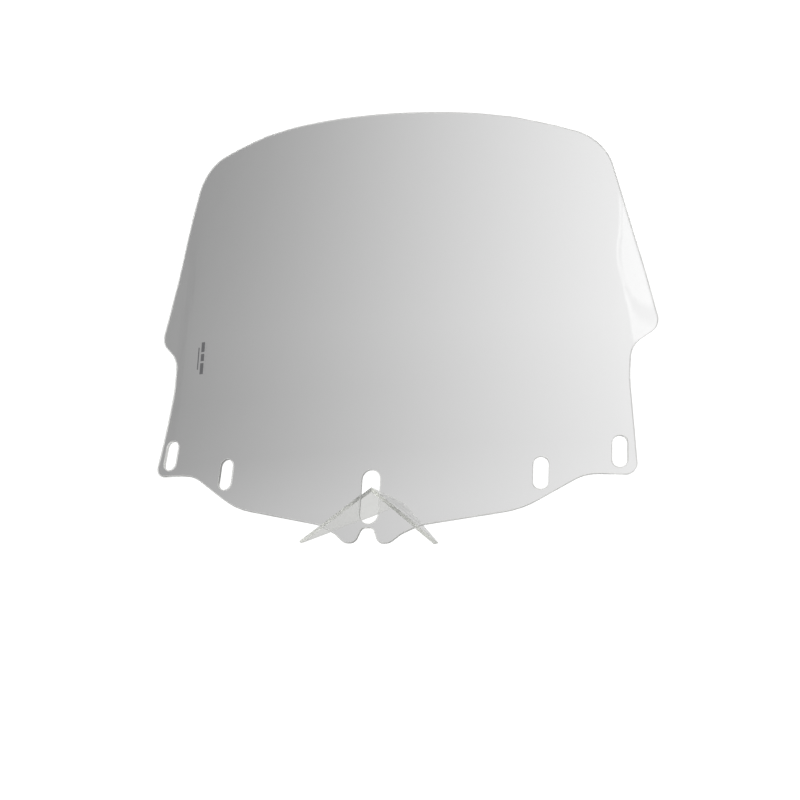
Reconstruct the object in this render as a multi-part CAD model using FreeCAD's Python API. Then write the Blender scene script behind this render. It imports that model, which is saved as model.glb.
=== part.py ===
"""Clear touring-motorcycle windshield screen, leaning on a clear two-plate display stand.

Millimetres. The screen is seen from the front when looking along +Y: +X is then to the right, +Y points back
toward the rider and +Z is up. The origin lies on the floor, on the mirror plane, midway between the foremost
and the rearmost point. Until everything is made, y is counted from the foot of the screen's centre lobes.
"""
import FreeCAD, Part
import math
import os

from FreeCAD import Vector

# ---- the moulded screen ------------------------------------------------------------------------------------
SCREEN_THICKNESS = 4.8      # 3/16 inch sheet
RAKE = 15.0                 # degrees that the whole screen leans back from upright

# Outline of the right half, seen square-on before the rake: what the corner is, x, z and the radius there.
# x is measured from the mirror plane and z from the foot of the centre lobes.
CROWN_HEIGHT = 597.5
OUTLINE_CORNERS = [
    ("crown shoulder", 186.0, CROWN_HEIGHT, 600.0),
    ("upper corner", 308.0, 575.5, 66.0),
    ("ear side", 361.5, 380.0, 300.0),
    ("ear tip", 380.5, 302.0, 24.0),
    ("under the ear", 341.0, 271.0, 36.0),
    ("waist", 338.5, 225.0, 200.0),
    ("outer lobe", 349.0, 91.0, 15.0),
    ("flank top", 281.0, 92.5, 60.0),
    ("flank foot", 201.0, 45.0, 128.0),
    ("centre shoulder", 70.0, 23.5, 50.0),
    ("lobe shoulder", 46.0, 12.0, 14.0),
    ("lobe outer side", 31.0, 0.0, 18.0),
    ("lobe inner side", 15.5, 0.0, 11.0),
    ("notch", 7.6, 19.5, 6.5),
]

# Front face, as its depth behind the square-on outline. It bows back to each side, less so toward the foot,
# and it sweeps back with height. Outside the crease line each side turns back a little more sharply.
# The shares are millimetres of depth at one FORM_SPAN from the mirror plane or from FORM_DATUM.
FORM_SPAN = 375.0
FORM_DATUM = 303.0          # height that the form is described from
SIDE_BOW = 169.0            # bow at that height
SIDE_BOW_RISE = 78.0        # how much the bow gains with height
SIDE_BOW_EASE = -31.0       # and how that gain tails off
SIDE_STRAIGHTEN = -50.0     # straightens the outer part of the bow
SIDE_STRAIGHTEN_RISE = -6.0
SWEEP_SQUARE = -22.0        # sweep of the mirror line with height
SWEEP_CUBE = 51.0
CREASE_X = 332.0            # where the side flanges start
CREASE_BULGE = 10.0         # how far the crease bulges inward beside the ears
CREASE_BULGE_Z = 403.0      # the middle height of that bulge
CREASE_BULGE_SPREAD = 52.0
CREASE_SLOPE = 0.25         # extra depth for each millimetre outside the crease
CREASE_WIDTH = 7.0          # how softly the crease turns
FORM_MARGIN = 12.0          # how far the form is drawn past the outline before it is trimmed
FORM_STATIONS = (61, 41)    # stations across and up that the smooth face is passed through

# Mounting slots, upright with round ends: width and height, and x and z of each centre
SIDE_SLOT = (20.0, 43.0)
CENTRE_SLOT = (25.0, 71.0)
OUTER_SLOT_AT = (325.0, 122.5)
INNER_SLOT_AT = (223.5, 93.0)
CENTRE_SLOT_AT = (0.0, 61.0)
LOBE_X = 24.0               # middle of each centre lobe

# ---- the stand ---------------------------------------------------------------------------------------------
PLATE_THICKNESS = 4.8
APEX_Y = 45.5               # front end of the ridge that the two plates share
APEX_Z = 66.5
FOOT_X = 98.0               # front foot of each plate, on the floor
FOOT_Y = 5.0
FOOT_RADIUS = 4.0
TAIL_Y = 220.0              # where the ridge meets the floor behind
SEAT_GAP = 0.4              # clear space left between the screen and the plates
SEAT_STATIONS = (15, 9)     # stations across and up for the screen's foot alone
SEAT_LIFT_STEP = 0.9        # the seats are cut for the screen a gap too low, and then at these steps up
SEAT_LIFT_STEPS = 6

FAR = 1000.0                # larger than anything here
SEW_TOLERANCE = 0.01


def form_depth(x, z):
    """Depth of the screen's front face behind the point (x, z) of its square-on outline."""
    side = abs(x) / FORM_SPAN
    rise = (z - FORM_DATUM) / FORM_SPAN
    sweep = SWEEP_SQUARE * rise ** 2 + SWEEP_CUBE * rise ** 3
    bow = (SIDE_BOW + SIDE_BOW_RISE * rise + SIDE_BOW_EASE * rise ** 2) * side ** 2
    straighten = (SIDE_STRAIGHTEN + SIDE_STRAIGHTEN_RISE * rise) * side ** 4
    crease_x = CREASE_X - CREASE_BULGE * math.exp(-((z - CREASE_BULGE_Z) / CREASE_BULGE_SPREAD) ** 2)
    past_crease = abs(x) - crease_x
    flange = CREASE_SLOPE * 0.5 * (past_crease + math.hypot(past_crease, CREASE_WIDTH))
    return sweep + bow + straighten + flange


def form_surface(half_width, height, columns, rows):
    """The front face as one smooth surface, drawn a margin larger than the width and height asked for.

    Its stations run from +X to -X, which turns its own normal toward the back.
    """
    reach = half_width + FORM_MARGIN
    rise = height + 2.0 * FORM_MARGIN
    stations = []
    for i in range(columns):
        x = reach * (1.0 - 2.0 * i / (columns - 1))
        heights = [rise * j / (rows - 1) - FORM_MARGIN for j in range(rows)]
        stations.append([Vector(x, form_depth(x, z), z) for z in heights])
    surface = Part.BSplineSurface()
    surface.interpolate(stations)
    return surface.toShape()


def rounded_path(corners, radii):
    """Edges from the first corner to the last, with each corner between them rounded by its radius."""
    edges = []
    start = corners[0]
    for before, corner, after, radius in zip(corners, corners[1:], corners[2:], radii):
        arrive = (before - corner).normalize()
        leave = (after - corner).normalize()
        half_angle = arrive.getAngle(leave) / 2.0
        reach = radius / math.tan(half_angle)
        inset = radius / math.sin(half_angle) - radius
        first = corner + arrive * reach
        last = corner + leave * reach
        middle = corner + (arrive + leave).normalize() * inset
        edges.append(Part.LineSegment(start, first).toShape())
        edges.append(Part.Arc(first, middle, last).toShape())
        start = last
    edges.append(Part.LineSegment(start, corners[-1]).toShape())
    return edges


def pushed_back(edges):
    """The closed chain of edges, which is drawn in front of the form, as a prism that runs back through it."""
    return Part.Face(Part.Wire(edges)).extrude(Vector(0.0, 2.0 * FAR, 0.0))


def outline_prism():
    """The square-on outline, both halves."""
    right = [Vector(x, -FAR, z) for _, x, z, _ in OUTLINE_CORNERS]
    left = [Vector(-corner.x, corner.y, corner.z) for corner in reversed(right)]
    radii = [radius for _, _, _, radius in OUTLINE_CORNERS]
    crown = Vector(0.0, -FAR, CROWN_HEIGHT)
    return pushed_back(rounded_path([crown] + right + left + [crown], radii + radii[::-1]))


def slot_prism(centre, size):
    """An upright slot with round ends."""
    x, z = centre
    radius = size[0] / 2.0
    run = size[1] / 2.0 - radius
    right_foot = Vector(x + radius, -FAR, z - run)
    right_head = Vector(x + radius, -FAR, z + run)
    left_foot = Vector(x - radius, -FAR, z - run)
    left_head = Vector(x - radius, -FAR, z + run)
    return pushed_back([
        Part.LineSegment(right_foot, right_head).toShape(),
        Part.Arc(right_head, Vector(x, -FAR, z + run + radius), left_head).toShape(),
        Part.LineSegment(left_head, left_foot).toShape(),
        Part.Arc(left_foot, Vector(x, -FAR, z - run - radius), right_foot).toShape(),
    ])


def front_face():
    """The front face of the screen, trimmed to the outline and the five slots."""
    half_width = max(x for _, x, _, _ in OUTLINE_CORNERS)
    face = form_surface(half_width, CROWN_HEIGHT, *FORM_STATIONS).common(outline_prism())
    face = face.cut(slot_prism(CENTRE_SLOT_AT, CENTRE_SLOT))
    for side in (-1.0, 1.0):
        for x, z in (OUTER_SLOT_AT, INNER_SLOT_AT):
            face = face.cut(slot_prism((side * x, z), SIDE_SLOT))
    return face.Faces[0]


def thickened(face, thickness):
    """The face thickened square to itself, toward the back."""
    return face.makeOffsetShape(thickness, SEW_TOLERANCE, fill=True)


def raked(shape):
    """The shape leaned back by the rake, about the X axis."""
    leaned = shape.copy()
    leaned.rotate(Vector(0.0, 0.0, 0.0), Vector(1.0, 0.0, 0.0), -RAKE)
    return leaned


def lift_direction():
    """The way the screen lifts off the stand."""
    return Vector(0.0, math.sin(math.radians(RAKE)), math.cos(math.radians(RAKE)))


def floor_shift(screen):
    """The move that brings the feet of the raked screen's centre lobes onto the floor at the origin."""
    foot_y = form_depth(LOBE_X, 0.0) * math.cos(math.radians(RAKE))
    return Vector(0.0, -foot_y, -screen.optimalBoundingBox().ZMin)


def make_seat_cutters(shift):
    """The space the screen's foot needs in the stand, with the gap all round, here and a little way up."""
    face = form_surface(FOOT_X, FOOT_X, *SEAT_STATIONS).common(outline_prism())
    front = face.makeOffsetShape(-SEAT_GAP, SEW_TOLERANCE).Faces[0]
    foot = raked(thickened(front, SCREEN_THICKNESS + 2.0 * SEAT_GAP))
    cutters = []
    for step in range(SEAT_LIFT_STEPS):
        cutter = foot.copy()
        cutter.translate(shift + lift_direction() * (step * SEAT_LIFT_STEP - SEAT_GAP))
        cutters.append(cutter)
    return cutters


def make_plate(side, seat_cutters):
    """One flat three-cornered plate of the stand, on the side given as -1 or +1.

    Its outer face runs through the ridge's front end, the front foot and the tail. It is mitred against its
    neighbour on the mirror plane, cut level at the floor, and cut away where the screen sits on it.
    """
    apex = Vector(0.0, APEX_Y, APEX_Z)
    foot = Vector(side * FOOT_X, FOOT_Y, 0.0)
    tail = Vector(0.0, TAIL_Y, 0.0)
    edges = rounded_path([apex, foot, tail], [FOOT_RADIUS])
    edges.append(Part.LineSegment(tail, apex).toShape())
    downward = (foot - apex).cross(tail - apex).normalize()
    if downward.z > 0.0:
        downward = downward * -1.0
    plate = Part.Face(Part.Wire(edges)).extrude(downward * PLATE_THICKNESS)
    own_half = Part.makeBox(FAR, 2.0 * FAR, FAR, Vector(min(0.0, side * FAR), -FAR, 0.0))
    plate = plate.common(own_half)
    for cutter in seat_cutters:
        plate = plate.cut(cutter)
    return max(plate.Solids, key=lambda solid: solid.Volume)


def main():
    os.makedirs("parts", exist_ok=True)
    screen = raked(thickened(front_face(), SCREEN_THICKNESS))
    shift = floor_shift(screen)
    screen.translate(shift)
    seat_cutters = make_seat_cutters(shift)
    shapes = {
        "screen": screen.Solids[0],
        "stand_left_plate": make_plate(-1.0, seat_cutters),
        "stand_right_plate": make_plate(1.0, seat_cutters),
    }
    boxes = [shape.optimalBoundingBox() for shape in shapes.values()]
    middle_y = 0.5 * (min(box.YMin for box in boxes) + max(box.YMax for box in boxes))
    for name, shape in shapes.items():
        shape.translate(Vector(0.0, -middle_y, 0.0))
        box = shape.optimalBoundingBox()
        size = [round(length, 1) for length in (box.XLength, box.YLength, box.ZLength)]
        print(name, shape.ShapeType, "valid" if shape.isValid() else "NOT VALID",
              "size", size, "volume", round(shape.Volume / 1000.0, 1), "cm3")
        shape.exportStep(os.path.join("parts", name + ".step"))
    print("lobe feet at y", round(-middle_y, 3), "lifted by", round(shift.z, 3))


main()
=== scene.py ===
"""Looks for the clear windshield screen and its clear display stand: polished plastic in a white studio."""
import math

import bmesh
import bpy
from mathutils import Matrix, Vector


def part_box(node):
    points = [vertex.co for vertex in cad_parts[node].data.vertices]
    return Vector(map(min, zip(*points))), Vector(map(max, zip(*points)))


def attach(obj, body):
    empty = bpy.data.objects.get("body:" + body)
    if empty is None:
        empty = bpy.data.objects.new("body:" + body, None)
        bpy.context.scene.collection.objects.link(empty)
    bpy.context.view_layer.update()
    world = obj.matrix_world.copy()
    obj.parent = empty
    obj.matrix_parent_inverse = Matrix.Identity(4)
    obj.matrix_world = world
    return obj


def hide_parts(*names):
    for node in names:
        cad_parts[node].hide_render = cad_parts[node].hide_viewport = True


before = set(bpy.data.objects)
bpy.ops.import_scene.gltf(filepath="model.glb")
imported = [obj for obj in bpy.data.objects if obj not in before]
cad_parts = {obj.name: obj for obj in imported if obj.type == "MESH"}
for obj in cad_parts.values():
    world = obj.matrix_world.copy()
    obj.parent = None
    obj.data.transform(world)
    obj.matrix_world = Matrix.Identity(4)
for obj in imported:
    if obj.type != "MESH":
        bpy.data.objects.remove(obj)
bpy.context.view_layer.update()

MM = 0.001

# ---- the screen, in millimetres, as it is seen square-on before it leans back ------------------------------
SCREEN_THICKNESS = 4.8
EDGE_ROUND = 1.3            # radius that the edges are eased to
EDGE_STEPS = 4              # facets in each quarter round
RAKE = math.radians(15.0)   # lean of the whole screen, back from upright
CROWN_HEIGHT = 597.5
OUTLINE_CORNERS = [         # x, z and the radius there, for the right half, from the crown down to the notch
    (186.0, CROWN_HEIGHT, 600.0),
    (308.0, 575.5, 66.0),
    (361.5, 380.0, 300.0),
    (380.5, 302.0, 24.0),
    (341.0, 271.0, 36.0),
    (338.5, 225.0, 200.0),
    (349.0, 91.0, 15.0),
    (281.0, 92.5, 60.0),
    (201.0, 45.0, 128.0),
    (70.0, 23.5, 50.0),
    (46.0, 12.0, 14.0),
    (31.0, 0.0, 18.0),
    (15.5, 0.0, 11.0),
    (7.6, 19.5, 6.5),
]
SLOTS = [                   # centre x and z, width and height
    (0.0, 61.0, 25.0, 71.0),
    (-223.5, 93.0, 20.0, 43.0),
    (223.5, 93.0, 20.0, 43.0),
    (-325.0, 122.5, 20.0, 43.0),
    (325.0, 122.5, 20.0, 43.0),
]

# The front face's depth behind the outline, the same form as the CAD screen's. Shares of x and of height are
# taken over one FORM_SPAN, and each depth is in millimetres at that span.
FORM_SPAN = 375.0
FORM_DATUM = 303.0                      # height that the form is described from
SIDE_BOW = (169.0, 78.0, -31.0)         # bow to the sides there, its gain with height, and how that tails off
SIDE_STRAIGHTEN = (-50.0, -6.0)         # straightening of the outer part of the bow, and its gain with height
SWEEP = (-22.0, 51.0)                   # sweep of the mirror line with the square and cube of height
CREASE_X = 332.0                        # where the side flanges start
CREASE_BULGE = (10.0, 403.0, 52.0)      # how far inward the crease bulges, at what height, and its spread
CREASE_SLOPE = 0.25                     # extra depth for each millimetre outside the crease
CREASE_WIDTH = 7.0                      # how softly the crease turns
NORMAL_STEP = 0.5                       # distance to each side that the form's slope is taken over

# ---- mesh cells, in millimetres ----------------------------------------------------------------------------
ARC_STEP = math.radians(6.0)    # turn between the points of a rounded corner
SLOT_END_STEPS = 18             # facets in each round end of a slot
GRID_STEP = 9.0                 # size of the sheet's mesh cells
GRID_REACH = 378.0              # how far to each side the grid runs
GRID_SHIFT = (0.31, 0.37)       # moves the grid in x and z off the outline's own points
GRID_SNAP = 0.02                # points this near a grid line are taken to lie on it
PRINT_CELL = 1.5

# ---- the printed mark, in millimetres, and the stand plates, in metres -------------------------------------
PRINT_PROUD = 0.05              # thickness of the printed mark on the front face
PRINT_BARS = [                  # centre x and z, width and height
    (-287.5, 285.5, 6.5, 15.0),
    (-287.5, 269.5, 6.5, 11.0),
    (-287.5, 252.5, 6.5, 17.0),
    (-295.5, 268.5, 2.2, 34.0),
]
PLATE_EASE = 0.0004                     # taken off the stand plates' sharp edges
PLATE_EASE_STEPS = 3
PLATE_WELD = 0.00001                    # points nearer than this are one point
PLATE_FLAT = math.radians(1.5)          # faces that meet at less than this are one flat face
PLATE_SHARP = math.radians(35.0)        # edges that turn more than this are eased
PLATE_WIDE_COSINE = 0.98                # faces turned this nearly as the widest one are polished, not sawn

# ---- plastics: colour that light keeps as it passes through ------------------------------------------------
SHEET_TINT = (0.93, 0.93, 0.93)
PLATE_TINT = (0.865, 0.87, 0.84)
SAWN_TINT = (0.77, 0.78, 0.735)
MILLED_TINT = (0.84, 0.84, 0.82)
SHEET_IOR = 1.5
ACRYLIC_IOR = 1.49
INK_DARK = (0.07, 0.07, 0.075)
INK_LIGHT = (0.13, 0.13, 0.135)

# ---- the studio, in metres. Bearings round the backdrop's drum count from straight behind toward +X --------
FLOOR_TONE = 0.92
FLOOR_RADIUS = 12.0
FLOOR_STEPS = 96
WORLD_LIGHT = 1.25
BACKDROP_RADIUS = 3.0
BACKDROP_FOOT = -3.0
BACKDROP_TOP = 5.0
BACKDROP_STEPS = 384        # cells round the drum, and from its foot to its top
BACKDROP_LEVELS = 32
AROUND_TONE = 0.50          # brightness of the backdrop in front and at the sides, and its gain toward +X
AROUND_SLOPE = 0.12
BEHIND_FROM = math.radians(-36.0)       # the part behind the screen is graded from dark to nearly white
BEHIND_TO = math.radians(9.0)
BEHIND_FADE = math.radians(15.0)        # it blends into the rest over this turn
BEHIND_TONE = 0.865         # brightness straight behind, and its gain toward +X
BEHIND_SLOPE = 1.02
BEHIND_DARKEST = 0.33
BEHIND_FALL = 0.18          # darkening per metre up, as a share of what it lacks to full white
BEHIND_GATHER = 0.25        # drawing toward one tone, per metre down
BEHIND_GATHER_TONE = 0.485
BEHIND_LOW = -0.45          # below this height it lightens again, over this depth
BEHIND_LIFT = 0.20
BEHIND_LIFT_DEPTH = 0.25
STRIP_FROM = 0.9625         # sine of the bearing of the bright strip's start; the right flange mirrors it
STRIP_GAP = (0.9755, 0.9825)            # sines of the bearings of a dimmer line within the strip
STRIP_GAP_LIGHT = 0.9
STRIP_FOOT = 1.2
STRIP_TOP = 2.1
STRIP_LIGHT = 1.75

# ---- the camera, in metres and millimetres of lens ---------------------------------------------------------
CAMERA_LENS = 51.81
CAMERA_SENSOR = 36.0
CAMERA_REACH = 50.0
CAMERA_AT = (0.4072, -1.5584, 0.4198)
CAMERA_TARGET = (0.0357, -0.0633, 0.1770)
CAMERA_ROLL = math.radians(-3.49)


# ---- the sheet's form --------------------------------------------------------------------------------------
def form_depth(x, z):
    """Depth of the front face behind the square-on outline."""
    side = abs(x) / FORM_SPAN
    rise = (z - FORM_DATUM) / FORM_SPAN
    sweep = SWEEP[0] * rise ** 2 + SWEEP[1] * rise ** 3
    bow = (SIDE_BOW[0] + SIDE_BOW[1] * rise + SIDE_BOW[2] * rise ** 2) * side ** 2
    straighten = (SIDE_STRAIGHTEN[0] + SIDE_STRAIGHTEN[1] * rise) * side ** 4
    bulge, bulge_z, spread = CREASE_BULGE
    crease_x = CREASE_X - bulge * math.exp(-((z - bulge_z) / spread) ** 2)
    past_crease = abs(x) - crease_x
    flange = CREASE_SLOPE * 0.5 * (past_crease + math.hypot(past_crease, CREASE_WIDTH))
    return sweep + bow + straighten + flange


def form_normal(x, z):
    """Unit normal of the front face, pointing out of its front."""
    step = NORMAL_STEP
    slope_x = (form_depth(x + step, z) - form_depth(x - step, z)) / (2.0 * step)
    slope_z = (form_depth(x, z + step) - form_depth(x, z - step)) / (2.0 * step)
    return Vector((slope_x, -1.0, slope_z)).normalized()


def leaned(v):
    """A square-on direction or point turned back by the rake."""
    y = v.y * math.cos(RAKE) + v.z * math.sin(RAKE)
    z = v.z * math.cos(RAKE) - v.y * math.sin(RAKE)
    return Vector((v.x, y, z))


def on_sheet(x, z, depth):
    """Leaned point, in mm, at this depth into the sheet behind its front face."""
    return leaned(Vector((x, form_depth(x, z), z)) - form_normal(x, z) * depth)


# ---- outlines ----------------------------------------------------------------------------------------------
def rounded_corner(before, corner, after, radius):
    """Points round the arc that replaces a corner between its two neighbours."""
    arrive = (before - corner).normalized()
    leave = (after - corner).normalized()
    half = arrive.angle(leave) / 2.0
    turn = math.pi - 2.0 * half
    reach = radius / math.tan(half)
    centre = corner + (arrive + leave).normalized() * (radius / math.sin(half))
    start = corner + arrive * reach - centre
    end = corner + leave * reach - centre
    side = 1.0 if start.x * end.y - start.y * end.x > 0.0 else -1.0
    steps = max(2, round(turn / ARC_STEP))
    points = []
    for k in range(steps + 1):
        angle = side * turn * k / steps
        x = start.x * math.cos(angle) - start.y * math.sin(angle)
        y = start.x * math.sin(angle) + start.y * math.cos(angle)
        points.append(centre + Vector((x, y)))
    return points


def screen_outline():
    """Points round the screen's whole outline, as x and z."""
    right = [Vector((x, z)) for x, z, _ in OUTLINE_CORNERS]
    left = [Vector((-corner.x, corner.y)) for corner in reversed(right)]
    right_radii = [radius for _, _, radius in OUTLINE_CORNERS]
    corners = right + left
    radii = right_radii + right_radii[::-1]
    points = []
    for i, corner in enumerate(corners):
        points += rounded_corner(corners[i - 1], corner, corners[(i + 1) % len(corners)], radii[i])
    return points


def slot_outline(x, z, width, height):
    """Points round an upright slot with half-round ends."""
    radius = width / 2.0
    run = height / 2.0 - radius
    points = []
    for centre_z, first in ((z + run, 0.0), (z - run, math.pi)):
        for k in range(SLOT_END_STEPS + 1):
            angle = first + math.pi * k / SLOT_END_STEPS
            points.append(Vector((x + radius * math.cos(angle), centre_z + radius * math.sin(angle))))
    return points


def moved_sideways(points, distance):
    """A closed outline with each point moved to its own right-hand side by the distance."""
    moved = []
    count = len(points)
    for i in range(count):
        along = (points[(i + 1) % count] - points[i - 1]).normalized()
        moved.append(points[i] + Vector((along.y, -along.x)) * distance)
    return moved


def turns_left(points):
    """Whether a closed outline runs anticlockwise."""
    doubled_area = sum(
        points[i - 1].x * points[i].y - points[i].x * points[i - 1].y for i in range(len(points))
    )
    return doubled_area > 0.0


def moved_into_material(points, distance, is_hole):
    """An outline of the sheet or of a hole in it, moved into the material by the distance."""
    material_on_right = turns_left(points) == is_hole
    return moved_sideways(points, distance if material_on_right else -distance)


# ---- the sheet's mesh --------------------------------------------------------------------------------------
def grid_cuts():
    """A point and a normal for each upright and each level grid line."""
    columns = round(2.0 * GRID_REACH / GRID_STEP) + 1
    rows = math.ceil(CROWN_HEIGHT / GRID_STEP)
    shift_x, shift_z = GRID_SHIFT
    upright = [
        ((k * GRID_STEP - GRID_REACH + shift_x, 0.0, 0.0), (1.0, 0.0, 0.0)) for k in range(columns)
    ]
    level = [((0.0, k * GRID_STEP + shift_z, 0.0), (0.0, 1.0, 0.0)) for k in range(rows)]
    return upright + level


def flat_sheet():
    """The square-on sheet as a flat gridded mesh in x and z, kept EDGE_ROUND inside its own outline."""
    bm = bmesh.new()
    rings = [moved_into_material(screen_outline(), EDGE_ROUND, False)]
    rings += [moved_into_material(slot_outline(*slot), EDGE_ROUND, True) for slot in SLOTS]
    edges = []
    for ring in rings:
        verts = [bm.verts.new((p.x, p.y, 0.0)) for p in ring]
        edges += [bm.edges.new((verts[i - 1], verts[i])) for i in range(len(verts))]
    bmesh.ops.triangle_fill(bm, edges=edges, use_beauty=True)
    for place, normal in grid_cuts():
        everything = bm.verts[:] + bm.edges[:] + bm.faces[:]
        bmesh.ops.bisect_plane(bm, geom=everything, dist=GRID_SNAP, plane_co=place, plane_no=normal)
    bm.normal_update()
    return bm


def boundary_rings(bm):
    """The boundary edges of a flat mesh, chained into closed rings of vertices."""
    following = {}
    for edge in bm.edges:
        if len(edge.link_faces) == 1:
            loop = edge.link_loops[0]
            following[loop.vert] = loop.link_loop_next.vert
    rings = []
    while following:
        first = next(iter(following))
        ring = [first]
        here = following.pop(first)
        while here is not first:
            ring.append(here)
            here = following.pop(here)
        rings.append(ring)
    return rings


class SheetMesh:
    """The screen's points, normals and faces, as they are gathered."""

    def __init__(self):
        self.places = []
        self.normals = []
        self.faces = []

    def add_point(self, x, z, depth, normal):
        """Adds a point at this depth into the sheet, and gives its number."""
        self.places.append(on_sheet(x, z, depth))
        self.normals.append(leaned(normal))
        return len(self.places) - 1


def add_wide_faces(sheet, flat, facing_up):
    """Adds the sheet's front and back, and gives the number that each flat vertex has on them."""
    front = {}
    back = {}
    for vert in flat.verts:
        normal = form_normal(vert.co.x, vert.co.y)
        front[vert] = sheet.add_point(vert.co.x, vert.co.y, 0.0, normal)
        back[vert] = sheet.add_point(vert.co.x, vert.co.y, SCREEN_THICKNESS, -normal)
    for face in flat.faces:
        loop = list(face.verts)
        if not facing_up:
            loop.reverse()
        sheet.faces.append([front[vert] for vert in loop])
        sheet.faces.append([back[vert] for vert in reversed(loop)])
    return front, back


def rim_stations():
    """For each row of the rounded rim: how far it stands out, how deep it lies and how far it has turned."""
    quarter = [0.5 * math.pi * k / EDGE_STEPS for k in range(1, EDGE_STEPS + 1)]
    front = [(EDGE_ROUND * math.sin(a), EDGE_ROUND * (1.0 - math.cos(a)), a) for a in quarter]
    back = [(out, SCREEN_THICKNESS - depth, math.pi - a) for out, depth, a in reversed(front)]
    return front + back


def outward_sides(ring, facing_up):
    """The flat direction out of the material at each vertex of a boundary ring."""
    turn = 1.0 if facing_up else -1.0
    sides = []
    for i in range(len(ring)):
        along = (ring[(i + 1) % len(ring)].co - ring[i - 1].co).normalized()
        sides.append(Vector((along.y, -along.x, 0.0)) * turn)
    return sides


def rim_point(sheet, vert, side, station):
    """Adds the point of the rim at this station outside a boundary vertex, and gives its number."""
    out, depth, angle = station
    x = vert.co.x + side.x * out
    z = vert.co.y + side.y * out
    face_normal = form_normal(x, z)
    slope = face_normal.x * side.x + face_normal.z * side.y
    rim_normal = (Vector((side.x, 0.0, side.y)) - face_normal * slope).normalized()
    return sheet.add_point(x, z, depth, face_normal * math.cos(angle) + rim_normal * math.sin(angle))


def add_rim(sheet, ring, front, back, facing_up):
    """Adds the rounded rim that joins the sheet's front to its back along one boundary ring."""
    sides = outward_sides(ring, facing_up)
    rows = [[front[vert] for vert in ring]]
    for station in rim_stations():
        rows.append([rim_point(sheet, vert, side, station) for vert, side in zip(ring, sides)])
    rows.append([back[vert] for vert in ring])
    for upper, lower in zip(rows, rows[1:]):
        for i in range(len(ring)):
            quad = [upper[i - 1], upper[i], lower[i], lower[i - 1]]
            sheet.faces.append(quad[::-1] if facing_up else quad)


def sheet_mesh():
    """The screen as one closed mesh of two gridded faces joined by rounded rims, and its first rim face."""
    flat = flat_sheet()
    flat.faces.ensure_lookup_table()
    facing_up = flat.faces[0].normal.z > 0.0
    sheet = SheetMesh()
    front, back = add_wide_faces(sheet, flat, facing_up)
    first_rim_face = len(sheet.faces)
    for ring in boundary_rings(flat):
        add_rim(sheet, ring, front, back, facing_up)
    flat.free()
    return sheet, first_rim_face


def sheet_offset():
    """The move, in mm, from the leaned drawing to the CAD frame, set by the rearmost and lowest points."""
    sharp = [on_sheet(p.x, p.y, depth) for p in screen_outline() for depth in (0.0, SCREEN_THICKNESS)]
    low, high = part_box("screen")
    shift_y = high.y / MM - max(p.y for p in sharp)
    shift_z = low.z / MM - min(p.z for p in sharp)
    return Vector((0.0, shift_y, shift_z))


OFFSET = sheet_offset()


def in_frame(points):
    """Leaned drawing points, in mm, as points of the CAD frame, in metres."""
    return [(point + OFFSET) * MM for point in points]


# ---- materials ---------------------------------------------------------------------------------------------
def start_material(name):
    """A new node material, with its node tree and its main shader."""
    material = bpy.data.materials.new(name)
    material.use_nodes = True
    return material, material.node_tree, material.node_tree.nodes["Principled BSDF"]


def add_texture(tree, kind, space, **settings):
    """A noise or wave texture over the piece's own coordinates, as a share from 0 to 1."""
    place = tree.nodes.new("ShaderNodeTexCoord")
    texture = tree.nodes.new(kind)
    for setting, value in settings.items():
        texture.inputs[setting].default_value = value
    tree.links.new(place.outputs[space], texture.inputs["Vector"])
    return texture.outputs["Fac"]


def add_noise(tree, scale, detail, space="Object"):
    return add_texture(tree, "ShaderNodeTexNoise", space, Scale=scale, Detail=detail)


def add_colour(tree, shader, share, first, second):
    """Colours the shader from the first colour to the second as the share rises."""
    mix = tree.nodes.new("ShaderNodeMix")
    mix.data_type = "RGBA"
    mix.inputs["A"].default_value = (*first, 1.0)
    mix.inputs["B"].default_value = (*second, 1.0)
    tree.links.new(share, mix.inputs["Factor"])
    tree.links.new(mix.outputs["Result"], shader.inputs["Base Color"])


def add_roughness(tree, shader, share, share_range, rough_range):
    """Roughens the shader over the second range as the share goes over the first."""
    spread = tree.nodes.new("ShaderNodeMapRange")
    spread.inputs["From Min"].default_value = share_range[0]
    spread.inputs["From Max"].default_value = share_range[1]
    spread.inputs["To Min"].default_value = rough_range[0]
    spread.inputs["To Max"].default_value = rough_range[1]
    tree.links.new(share, spread.inputs["Value"])
    tree.links.new(spread.outputs["Result"], shader.inputs["Roughness"])


def add_bump(tree, shader, share, strength, distance):
    """Gives the shader a relief that is the distance, in metres, high where the share is full."""
    bump = tree.nodes.new("ShaderNodeBump")
    bump.inputs["Strength"].default_value = strength
    bump.inputs["Distance"].default_value = distance
    tree.links.new(share, bump.inputs["Height"])
    tree.links.new(bump.outputs["Normal"], shader.inputs["Normal"])


def clear_plastic(name, tint, ior, rough, wave_scale, wave_height, tint_drift):
    """Clear plastic: tinted, slightly wavy as formed sheet is, with fine wipe marks in its gloss."""
    material, tree, shader = start_material(name)
    shader.inputs["IOR"].default_value = ior
    shader.inputs["Transmission Weight"].default_value = 1.0
    thick = [c * (1.0 - tint_drift) for c in tint]
    thin = [min(1.0, c * (1.0 + tint_drift)) for c in tint]
    add_colour(tree, shader, add_noise(tree, scale=3.0, detail=2.0), thick, thin)
    wipe = add_noise(tree, scale=9.0, detail=6.0)
    add_roughness(tree, shader, wipe, (0.35, 0.75), (rough * 0.5, rough * 1.8))
    wave = add_noise(tree, scale=wave_scale, detail=1.0)
    add_bump(tree, shader, wave, 1.0, wave_height)
    return material


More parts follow.
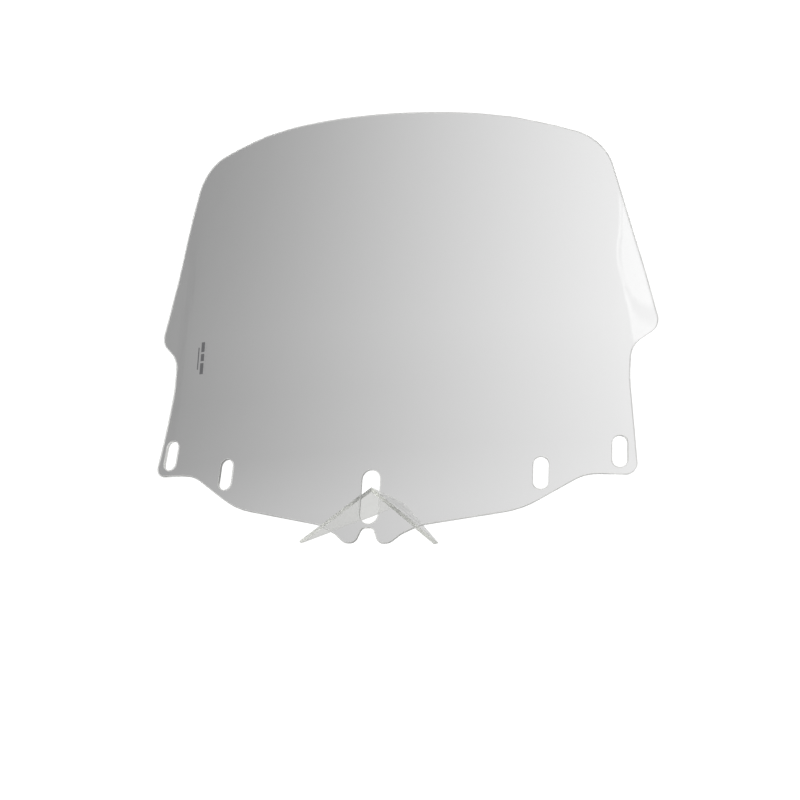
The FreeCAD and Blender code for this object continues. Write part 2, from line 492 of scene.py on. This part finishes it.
def cut_plastic(name, tint, rib_scale, rib_depth):
    """A cut edge of clear plastic: pale, matt, and faintly ribbed by the cutter."""
    material, tree, shader = start_material(name)
    shader.inputs["IOR"].default_value = ACRYLIC_IOR
    shader.inputs["Transmission Weight"].default_value = 0.75
    haze = add_noise(tree, scale=120.0, detail=4.0)
    add_colour(tree, shader, haze, [c * 0.88 for c in tint], tint)
    add_roughness(tree, shader, haze, (0.0, 1.0), (0.35, 0.6))
    ribs = add_texture(tree, "ShaderNodeTexWave", "Object", Scale=rib_scale, Distortion=2.0)
    add_bump(tree, shader, ribs, 0.3, rib_depth)
    return material


def print_ink():
    """Dark grey screen-print ink, slightly uneven where the sheet's gloss breaks it up."""
    material, tree, shader = start_material("print_ink")
    shader.inputs["Roughness"].default_value = 0.45
    add_colour(tree, shader, add_noise(tree, scale=900.0, detail=3.0), INK_DARK, INK_LIGHT)
    return material


def studio_paper():
    """Seamless studio paper: pale, matt, with a faint tooth."""
    material, tree, shader = start_material("studio_paper")
    shader.inputs["Base Color"].default_value = (FLOOR_TONE, FLOOR_TONE, FLOOR_TONE, 1.0)
    shader.inputs["Roughness"].default_value = 0.9
    shader.inputs["Specular IOR Level"].default_value = 0.1
    add_bump(tree, shader, add_noise(tree, scale=400.0, detail=2.0, space="Generated"), 0.05, 0.0005)
    return material


def backdrop_glow():
    """The backdrop's graded light. Light that goes on to the floor leaves it at the studio's full white."""
    material = bpy.data.materials.new("backdrop_glow")
    material.use_nodes = True
    nodes = material.node_tree.nodes
    links = material.node_tree.links
    nodes.clear()
    glow = nodes.new("ShaderNodeVertexColor")
    glow.layer_name = "glow"
    path = nodes.new("ShaderNodeLightPath")
    for_floor = nodes.new("ShaderNodeMath")
    for_floor.operation = "GREATER_THAN"
    for_floor.inputs[1].default_value = 0.5
    mix = nodes.new("ShaderNodeMix")
    mix.data_type = "RGBA"
    mix.inputs["B"].default_value = (WORLD_LIGHT, WORLD_LIGHT, WORLD_LIGHT, 1.0)
    emission = nodes.new("ShaderNodeEmission")
    output = nodes.new("ShaderNodeOutputMaterial")
    links.new(path.outputs["Diffuse Depth"], for_floor.inputs[0])
    links.new(for_floor.outputs["Value"], mix.inputs["Factor"])
    links.new(glow.outputs["Color"], mix.inputs["A"])
    links.new(mix.outputs["Result"], emission.inputs["Color"])
    links.new(emission.outputs["Emission"], output.inputs["Surface"])
    return material


# ---- pieces ------------------------------------------------------------------------------------------------
def link_object(name, data):
    """A new object in the scene, on its mesh or camera."""
    made = bpy.data.objects.new(name, data)
    bpy.context.scene.collection.objects.link(made)
    return made


def make_smooth_piece(name, places, faces, normals, materials):
    """A smooth piece in the scene, from its points, faces and point normals."""
    mesh = bpy.data.meshes.new(name)
    mesh.from_pydata([tuple(place) for place in places], [], faces)
    mesh.validate()
    mesh.update()
    mesh.polygons.foreach_set("use_smooth", [True] * len(mesh.polygons))
    mesh.normals_split_custom_set_from_vertices([tuple(normal) for normal in normals])
    for material in materials:
        mesh.materials.append(material)
    return link_object(name, mesh)


def make_sheet():
    """The moulded screen: clear faces with milled, eased edges."""
    clear = clear_plastic(
        "clear_sheet_plastic", SHEET_TINT, SHEET_IOR, rough=0.02, wave_scale=14.0, wave_height=0.0004,
        tint_drift=0.006
    )
    milled = cut_plastic("milled_sheet_edge", MILLED_TINT, rib_scale=90.0, rib_depth=0.00005)
    sheet, first_rim_face = sheet_mesh()
    places = in_frame(sheet.places)
    piece = make_smooth_piece("clear_sheet", places, sheet.faces, sheet.normals, [clear, milled])
    is_rim = [int(k >= first_rim_face) for k in range(len(sheet.faces))]
    piece.data.polygons.foreach_set("material_index", is_rim)
    piece.visible_diffuse = False
    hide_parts("screen")
    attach(piece, "screen")


def eased_plate(cad):
    """The CAD plate's mesh with its sharp edges eased. Its edge faces take the second material."""
    bm = bmesh.new()
    verts = [bm.verts.new(vert.co) for vert in cad.vertices]
    for polygon in cad.polygons:
        bm.faces.new([verts[k] for k in polygon.vertices])
    bmesh.ops.remove_doubles(bm, verts=bm.verts, dist=PLATE_WELD)
    bmesh.ops.dissolve_limit(bm, angle_limit=PLATE_FLAT, verts=bm.verts, edges=bm.edges)
    sharp = [edge for edge in bm.edges if edge.calc_face_angle(0.0) > PLATE_SHARP]
    eased = bmesh.ops.bevel(
        bm, geom=sharp, offset=PLATE_EASE, segments=PLATE_EASE_STEPS, profile=0.5, affect="EDGES",
        clamp_overlap=True
    )
    for face in eased["faces"]:
        face.smooth = True
    wide = max(bm.faces, key=lambda face: face.calc_area()).normal.copy()
    for face in bm.faces:
        face.material_index = 0 if abs(face.normal.dot(wide)) > PLATE_WIDE_COSINE else 1
    bmesh.ops.recalc_face_normals(bm, faces=bm.faces)
    return bm


def make_plate(node, name, polished, sawn):
    """A stand plate with eased edges. Its two wide faces are polished and its edges sawn."""
    bm = eased_plate(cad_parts[node].data)
    mesh = bpy.data.meshes.new(name)
    bm.to_mesh(mesh)
    bm.free()
    mesh.materials.append(polished)
    mesh.materials.append(sawn)
    plate = link_object(name, mesh)
    plate.visible_diffuse = False
    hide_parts(node)
    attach(plate, "stand")


def make_stand():
    """The display stand's two plates, of one acrylic."""
    acrylic = clear_plastic(
        "clear_plate_acrylic", PLATE_TINT, ACRYLIC_IOR, rough=0.015, wave_scale=30.0, wave_height=0.0001,
        tint_drift=0.004
    )
    sawn = cut_plastic("sawn_acrylic_edge", SAWN_TINT, rib_scale=260.0, rib_depth=0.0002)
    make_plate("stand_left_plate", "left_plate", acrylic, sawn)
    make_plate("stand_right_plate", "right_plate", acrylic, sawn)


def print_bar(x, z, width, height):
    """A small printed bar lying on the screen's front face, as a gridded patch that follows its curve."""
    columns = max(1, round(width / PRINT_CELL))
    rows = max(1, round(height / PRINT_CELL))
    places = []
    normals = []
    for j in range(rows + 1):
        for i in range(columns + 1):
            px = x + width * (i / columns - 0.5)
            pz = z + height * (j / rows - 0.5)
            places.append(on_sheet(px, pz, -PRINT_PROUD))
            normals.append(leaned(form_normal(px, pz)))
    faces = []
    for j in range(rows):
        for i in range(columns):
            corner = j * (columns + 1) + i
            faces.append((corner, corner + 1, corner + columns + 2, corner + columns + 1))
    return places, normals, faces


def make_print_mark():
    """A plain printed mark of bars with no lettering."""
    places = []
    normals = []
    faces = []
    for bar in PRINT_BARS:
        bar_places, bar_normals, bar_faces = print_bar(*bar)
        faces += [[index + len(places) for index in face] for face in bar_faces]
        places += bar_places
        normals += bar_normals
    mark = make_smooth_piece("printed_mark", in_frame(places), faces, normals, [print_ink()])
    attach(mark, "screen")


# ---- studio ------------------------------------------------------------------------------------------------
def make_floor():
    """A round white floor that the clear plastic neither shows nor mirrors."""
    bm = bmesh.new()
    bmesh.ops.create_circle(bm, cap_ends=True, segments=FLOOR_STEPS, radius=FLOOR_RADIUS)
    mesh = bpy.data.meshes.new("studio_floor")
    bm.to_mesh(mesh)
    bm.free()
    mesh.materials.append(studio_paper())
    floor = link_object("studio_floor", mesh)
    floor.visible_transmission = False
    floor.visible_glossy = False


def backdrop_light(bearing, z):
    """Brightness of the studio backdrop at this bearing and height."""
    across = math.sin(bearing)
    if across > STRIP_FROM and STRIP_FOOT <= z <= STRIP_TOP:
        in_gap = STRIP_GAP[0] < across < STRIP_GAP[1]
        return STRIP_GAP_LIGHT if in_gap else STRIP_LIGHT
    around = AROUND_TONE + AROUND_SLOPE * across
    behind = BEHIND_TONE + BEHIND_SLOPE * across
    shade = max(0.0, 1.0 - behind)
    if z > 0.0:
        behind = max(BEHIND_DARKEST, behind - BEHIND_FALL * shade * z)
    else:
        behind = max(BEHIND_DARKEST, behind)
        behind += BEHIND_GATHER * (BEHIND_GATHER_TONE - behind) * min(-z, -BEHIND_LOW)
        behind += BEHIND_LIFT * shade * min(1.0, max(0.0, BEHIND_LOW - z) / BEHIND_LIFT_DEPTH)
    outside = max(BEHIND_FROM - bearing, bearing - BEHIND_TO, 0.0)
    return behind + (around - behind) * min(1.0, outside / BEHIND_FADE)


def drum_points():
    """The backdrop's points, level by level from its foot, then the middle of its base, with their light."""
    places = []
    lights = []
    for j in range(BACKDROP_LEVELS + 1):
        level = BACKDROP_FOOT + (BACKDROP_TOP - BACKDROP_FOOT) * j / BACKDROP_LEVELS
        for k in range(BACKDROP_STEPS):
            bearing = 2.0 * math.pi * k / BACKDROP_STEPS - math.pi
            places.append((BACKDROP_RADIUS * math.sin(bearing), BACKDROP_RADIUS * math.cos(bearing), level))
            lights.append(backdrop_light(bearing, level))
    places.append((0.0, 0.0, BACKDROP_FOOT))
    lights.append(AROUND_TONE)
    return places, lights


def drum_faces():
    """The backdrop's faces: its wall, then the triangles of its base."""
    faces = []
    for j in range(BACKDROP_LEVELS):
        for k in range(BACKDROP_STEPS):
            here = j * BACKDROP_STEPS + k
            beside = j * BACKDROP_STEPS + (k + 1) % BACKDROP_STEPS
            faces.append((here, beside, beside + BACKDROP_STEPS, here + BACKDROP_STEPS))
    middle = (BACKDROP_LEVELS + 1) * BACKDROP_STEPS
    faces += [(k, (k + 1) % BACKDROP_STEPS, middle) for k in range(BACKDROP_STEPS)]
    return faces


def make_backdrop():
    """The graded grey drum that the clear plastic shows and mirrors, open above and unseen by the camera."""
    places, lights = drum_points()
    mesh = bpy.data.meshes.new("studio_backdrop")
    mesh.from_pydata(places, [], drum_faces())
    mesh.update()
    glow = mesh.color_attributes.new("glow", "FLOAT_COLOR", "POINT")
    for item, light in zip(glow.data, lights):
        item.color = (light, light, light, 1.0)
    mesh.materials.append(backdrop_glow())
    backdrop = link_object("studio_backdrop", mesh)
    backdrop.visible_camera = False
    backdrop.visible_diffuse = False
    backdrop.visible_shadow = False


def make_world():
    """Even white light from all round."""
    world = bpy.data.worlds.new("studio_white")
    world.use_nodes = True
    background = world.node_tree.nodes["Background"]
    background.inputs["Color"].default_value = (1.0, 1.0, 1.0, 1.0)
    background.inputs["Strength"].default_value = WORLD_LIGHT
    bpy.context.scene.world = world


def make_camera():
    """A normal lens to the right of the middle, slightly above it, and rolled a few degrees."""
    camera_data = bpy.data.cameras.new("camera")
    camera_data.lens = CAMERA_LENS
    camera_data.sensor_width = CAMERA_SENSOR
    camera_data.clip_end = CAMERA_REACH
    camera = link_object("camera", camera_data)
    place = Vector(CAMERA_AT)
    look = (Vector(CAMERA_TARGET) - place).to_track_quat("-Z", "Y").to_matrix().to_4x4()
    camera.matrix_world = Matrix.Translation(place) @ look @ Matrix.Rotation(CAMERA_ROLL, 4, "Z")
    bpy.context.scene.camera = camera


def main():
    bpy.context.scene.view_settings.view_transform = "Standard"
    make_camera()
    make_world()
    make_floor()
    make_backdrop()
    make_sheet()
    make_print_mark()
    make_stand()


main()
